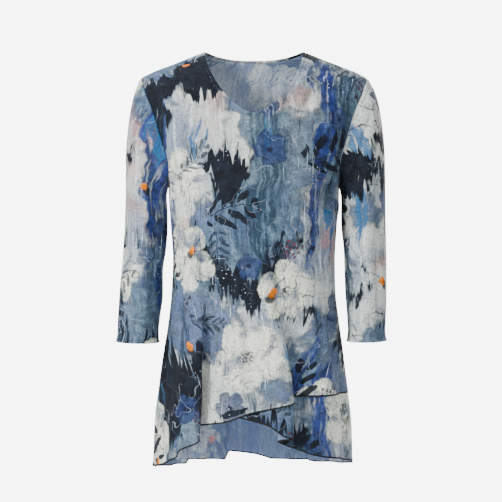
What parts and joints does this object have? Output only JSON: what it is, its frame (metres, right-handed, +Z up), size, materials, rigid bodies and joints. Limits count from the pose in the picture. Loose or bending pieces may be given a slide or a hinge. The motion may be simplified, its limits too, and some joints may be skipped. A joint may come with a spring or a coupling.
{
  "type": "tunic top",
  "caption": "Women's tunic filled out as worn: V neck, three-quarter sleeves, flared hem, two crossed front layers with slanted hems. Hollow cloth walls.",
  "frame": {"origin": "midway between the high points of the two shoulders, at their height, where the wearer's shoulders carry the garment", "axes": "+Z up, +X to the wearer's left, -Y to the front"},
  "size_m": [0.5112, 0.2888, 0.8003],
  "materials": {
    "printed_knit": "fine crinkled knit with a soft sheen",
    "neck_binding_knit": "matt knit"
  },
  "bodies": {
    "root": {"front": "printed_knit", "under_front": "printed_knit", "back": "printed_knit", "sleeve_right": "printed_knit", "sleeve_left": "printed_knit", "neck_binding": "neck_binding_knit"}
  },
  "joints": []
}
